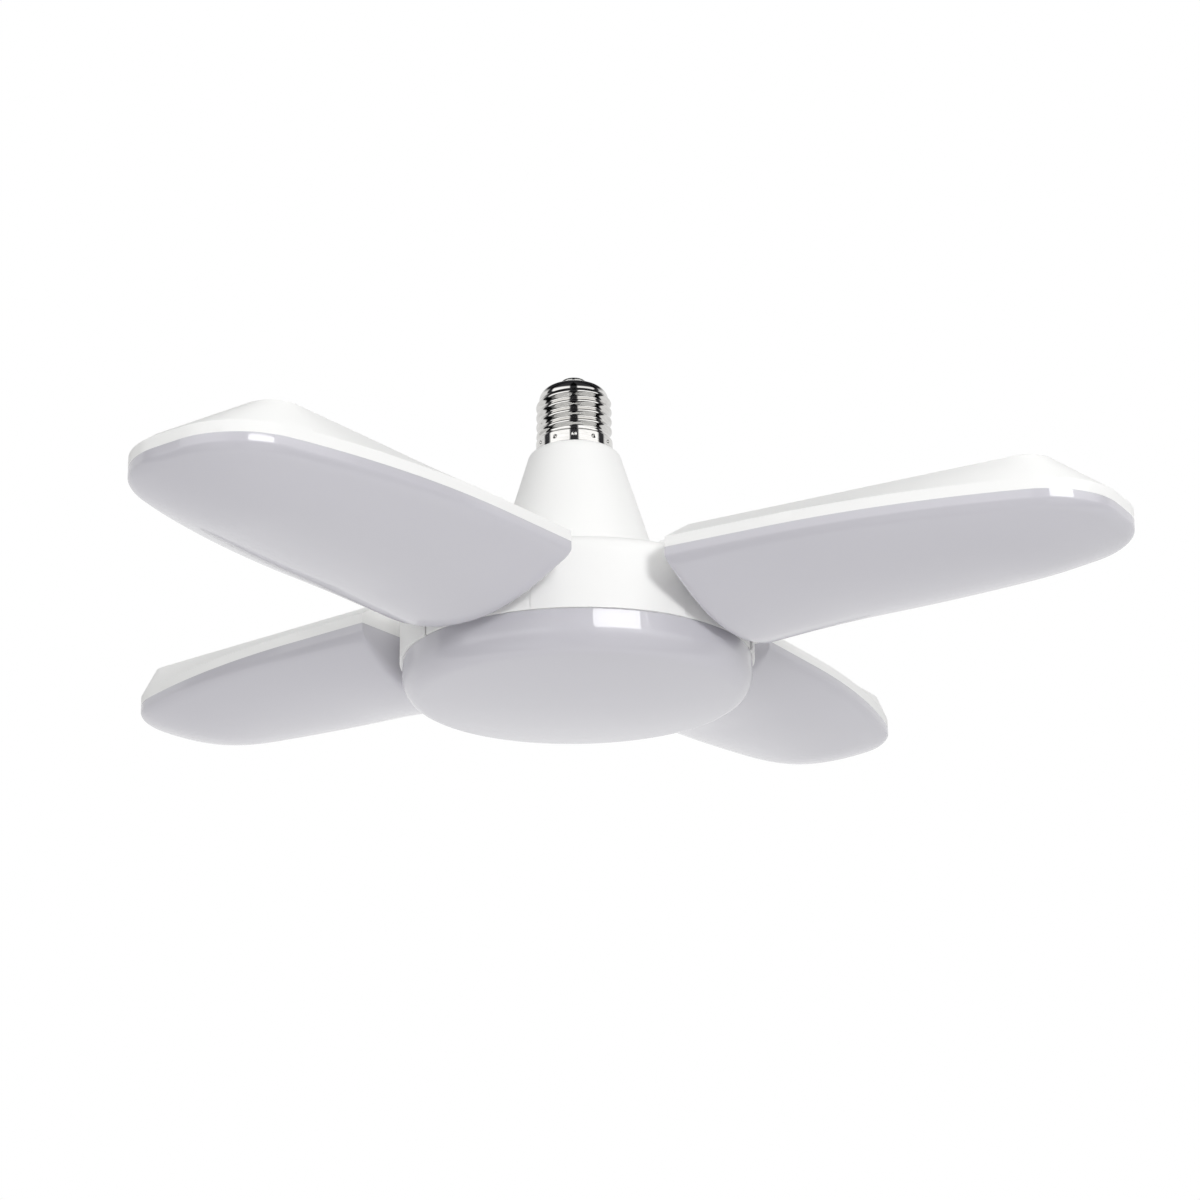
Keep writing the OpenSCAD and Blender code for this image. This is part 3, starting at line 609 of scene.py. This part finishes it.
def screw_shell():
    """The cap's sheet metal: skirt with punched dimples, right-hand thread and dome."""
    steps = 288
    verts, rows = [], []
    for r, z in shell_profile():
        radii = [shell_radius(r, z, 2 * math.pi * i / steps) for i in range(steps)]
        rows.append(add_row(verts, ring_points(radii, z)))
    obj = make_object("screw_shell_threaded", verts, join_rows(rows, closed=True), NICKEL)
    smooth_by_angle(obj, degrees=60)
    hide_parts("screw_shell")
    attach(obj, "hub")


screw_shell()


# ---------------------------------------------------------------- stage

MIDDLE = (0, 0, -0.06)      # the lights point here, in metres


def maths(tree, operation, source, *constants):
    """The result of a math node that works on a source and constants."""
    node = tree.nodes.new("ShaderNodeMath")
    node.operation = operation
    tree.links.new(source, node.inputs[0])
    for socket, constant in zip(node.inputs[1:], constants):
        socket.default_value = constant
    return node.outputs[0]


def blend(tree, kind, first, second):
    """Two colours added or multiplied."""
    node = tree.nodes.new("ShaderNodeMix")
    node.data_type = "RGBA"
    node.blend_type = kind
    node.inputs["Factor"].default_value = 1
    colours_in = [socket for socket in node.inputs if socket.type == "RGBA"]
    tree.links.new(first, colours_in[0])
    tree.links.new(second, colours_in[1])
    return next(socket for socket in node.outputs if socket.type == "RGBA")


def soft_floor():
    """A wide pale floor well below the lamp. The photograph's camera does not see it."""
    half, z = 30, -1.9
    mesh = bpy.data.meshes.new("floor")
    corners = [(-half, -half, z), (half, -half, z), (half, half, z), (-half, half, z)]
    mesh.from_pydata(corners, [], [(0, 1, 2, 3)])
    floor = bpy.data.objects.new("floor", mesh)
    scene.collection.objects.link(floor)
    mat, tree, bsdf = new_material("floor")
    bsdf.inputs["Base Color"].default_value = (0.9, 0.9, 0.9, 1)
    bsdf.inputs["Roughness"].default_value = 0.9
    bsdf.inputs["Specular IOR Level"].default_value = 0.1
    # the floor looks pale to the camera without putting more light on the lamp
    camera_glow = 0.4
    path = tree.nodes.new("ShaderNodeLightPath")
    glow = maths(tree, "MULTIPLY", path.outputs["Is Camera Ray"], camera_glow)
    bsdf.inputs["Emission Color"].default_value = (1, 1, 1, 1)
    tree.links.new(glow, bsdf.inputs["Emission Strength"])
    mesh.materials.append(mat)
    # shiny surfaces see the studio of mirrored_studio below them instead
    floor.visible_glossy = False


def area_light(name, place, size, power, size_y=None, only_mirrored=False):
    """A soft lamp that points at the middle, and either lights matt surfaces or is mirrored."""
    data = bpy.data.lights.new(name, "AREA")
    data.shape = "RECTANGLE" if size_y else "SQUARE"
    data.size = size
    if size_y:
        data.size_y = size_y
    data.energy = power
    light = bpy.data.objects.new(name, data)
    light.location = place
    light.rotation_euler = (Vector(MIDDLE) - Vector(place)).to_track_quat("-Z", "Y").to_euler()
    light.visible_camera = False
    light.visible_diffuse = not only_mirrored
    light.visible_glossy = only_mirrored
    scene.collection.objects.link(light)
    return light


def softbox():
    """The window-like light that the lens and diffusers mirror, up and to the camera's right."""
    toward, aside, height = 2.71, 1.29, 0.6
    place = TOWARD * toward + RIGHT * aside + Vector((0, 0, height))
    light = area_light("softbox", place, size=1.6, power=30, size_y=0.75, only_mirrored=True)
    # only the milky plastic mirrors it, so that the cap keeps its dark lines
    milky_pieces = bpy.data.collections.new("milky_pieces")
    light.light_linking.receiver_collection = milky_pieces
    for piece in scene.objects:
        if piece.type == "MESH" and MILK.name in piece.data.materials:
            milky_pieces.objects.link(piece)


def mirrored_studio(tree):
    """What shiny surfaces see: a white panel on each side of the camera with dark gaps round
    them, a table below, a dark ceiling, and a grey room behind the lamp."""
    coord = tree.nodes.new("ShaderNodeTexCoord")
    turn = tree.nodes.new("ShaderNodeMapping")
    turn.inputs["Rotation"].default_value = (0, 0, -CAMERA_SIDE)
    around = tree.nodes.new("ShaderNodeTexGradient")
    around.gradient_type = "RADIAL"
    split = tree.nodes.new("ShaderNodeSeparateXYZ")
    tree.links.new(coord.outputs["Generated"], turn.inputs["Vector"])
    tree.links.new(turn.outputs[0], around.inputs[0])
    tree.links.new(turn.outputs[0], split.inputs[0])
    # away: how far a direction lies to the side of the camera, as a share of a full turn
    centred = maths(tree, "SUBTRACT", around.outputs["Fac"], 0.5)
    away = maths(tree, "ABSOLUTE", centred)
    # raised: from 0 straight down to 1 straight up
    raised = maths(tree, "MULTIPLY_ADD", split.outputs["Z"], 0.5, 0.5)
    black, dark, shade = (0, 0, 0), (0.03, 0.03, 0.033), (0.08, 0.08, 0.08)
    table, pale, white = (0.36, 0.36, 0.36), (0.62, 0.62, 0.62), (1, 1, 1)
    panels = ramp(tree, away, [(11 / 360, dark), (15 / 360, white), (74 / 360, white),
                               (80 / 360, dark)])
    room = ramp(tree, away, [(97 / 360, black), (103 / 360, pale)])
    front = ramp(tree, raised, [(0.04, table), (0.2, shade), (0.36, shade), (0.43, white),
                                (0.79, white), (0.86, dark)])
    ceiling = ramp(tree, raised, [(0.79, white), (0.86, dark)])
    return blend(tree, "ADD", blend(tree, "MULTIPLY", panels, front),
                 blend(tree, "MULTIPLY", room, ceiling))


def world():
    """White to the camera, soft white light on the lamp, and the studio for its reflections."""
    lit_strength, mirrored_strength = 0.5, 1.35
    studio = bpy.data.worlds.new("studio")
    studio.use_nodes = True
    tree = studio.node_tree
    tree.nodes.clear()
    out = tree.nodes.new("ShaderNodeOutputWorld")
    path = tree.nodes.new("ShaderNodeLightPath")
    lit = tree.nodes.new("ShaderNodeBackground")
    lit.inputs["Color"].default_value = (1, 1, 1, 1)
    lit.inputs["Strength"].default_value = lit_strength
    mirrored = tree.nodes.new("ShaderNodeBackground")
    mirrored.inputs["Strength"].default_value = mirrored_strength
    tree.links.new(mirrored_studio(tree), mirrored.inputs["Color"])
    seen = tree.nodes.new("ShaderNodeBackground")
    seen.inputs["Color"].default_value = (1, 1, 1, 1)
    light = tree.nodes.new("ShaderNodeMixShader")
    tree.links.new(path.outputs["Is Glossy Ray"], light.inputs[0])
    tree.links.new(lit.outputs[0], light.inputs[1])
    tree.links.new(mirrored.outputs[0], light.inputs[2])
    last = tree.nodes.new("ShaderNodeMixShader")
    tree.links.new(path.outputs["Is Camera Ray"], last.inputs[0])
    tree.links.new(light.outputs[0], last.inputs[1])
    tree.links.new(seen.outputs[0], last.inputs[2])
    tree.links.new(last.outputs[0], out.inputs[0])
    scene.world = studio


world()
soft_floor()
# places and sizes in metres, powers in watts
area_light("front_low", (-0.4, -1.2, -0.9), size=0.8, power=1.5)
area_light("right", (1.25, -0.8, 0.14), size=0.3, power=8.8)
area_light("front_high", (0.95, -0.6, 1.1), size=0.9, power=4.2)
area_light("below", (0, 0, -1.5), size=1.2, power=6.2)
area_light("left", (-0.6, -1.3, 0.35), size=0.6, power=1.6)
area_light("back_low", (-0.7, 1.0, -0.9), size=0.8, power=2.5)
softbox()
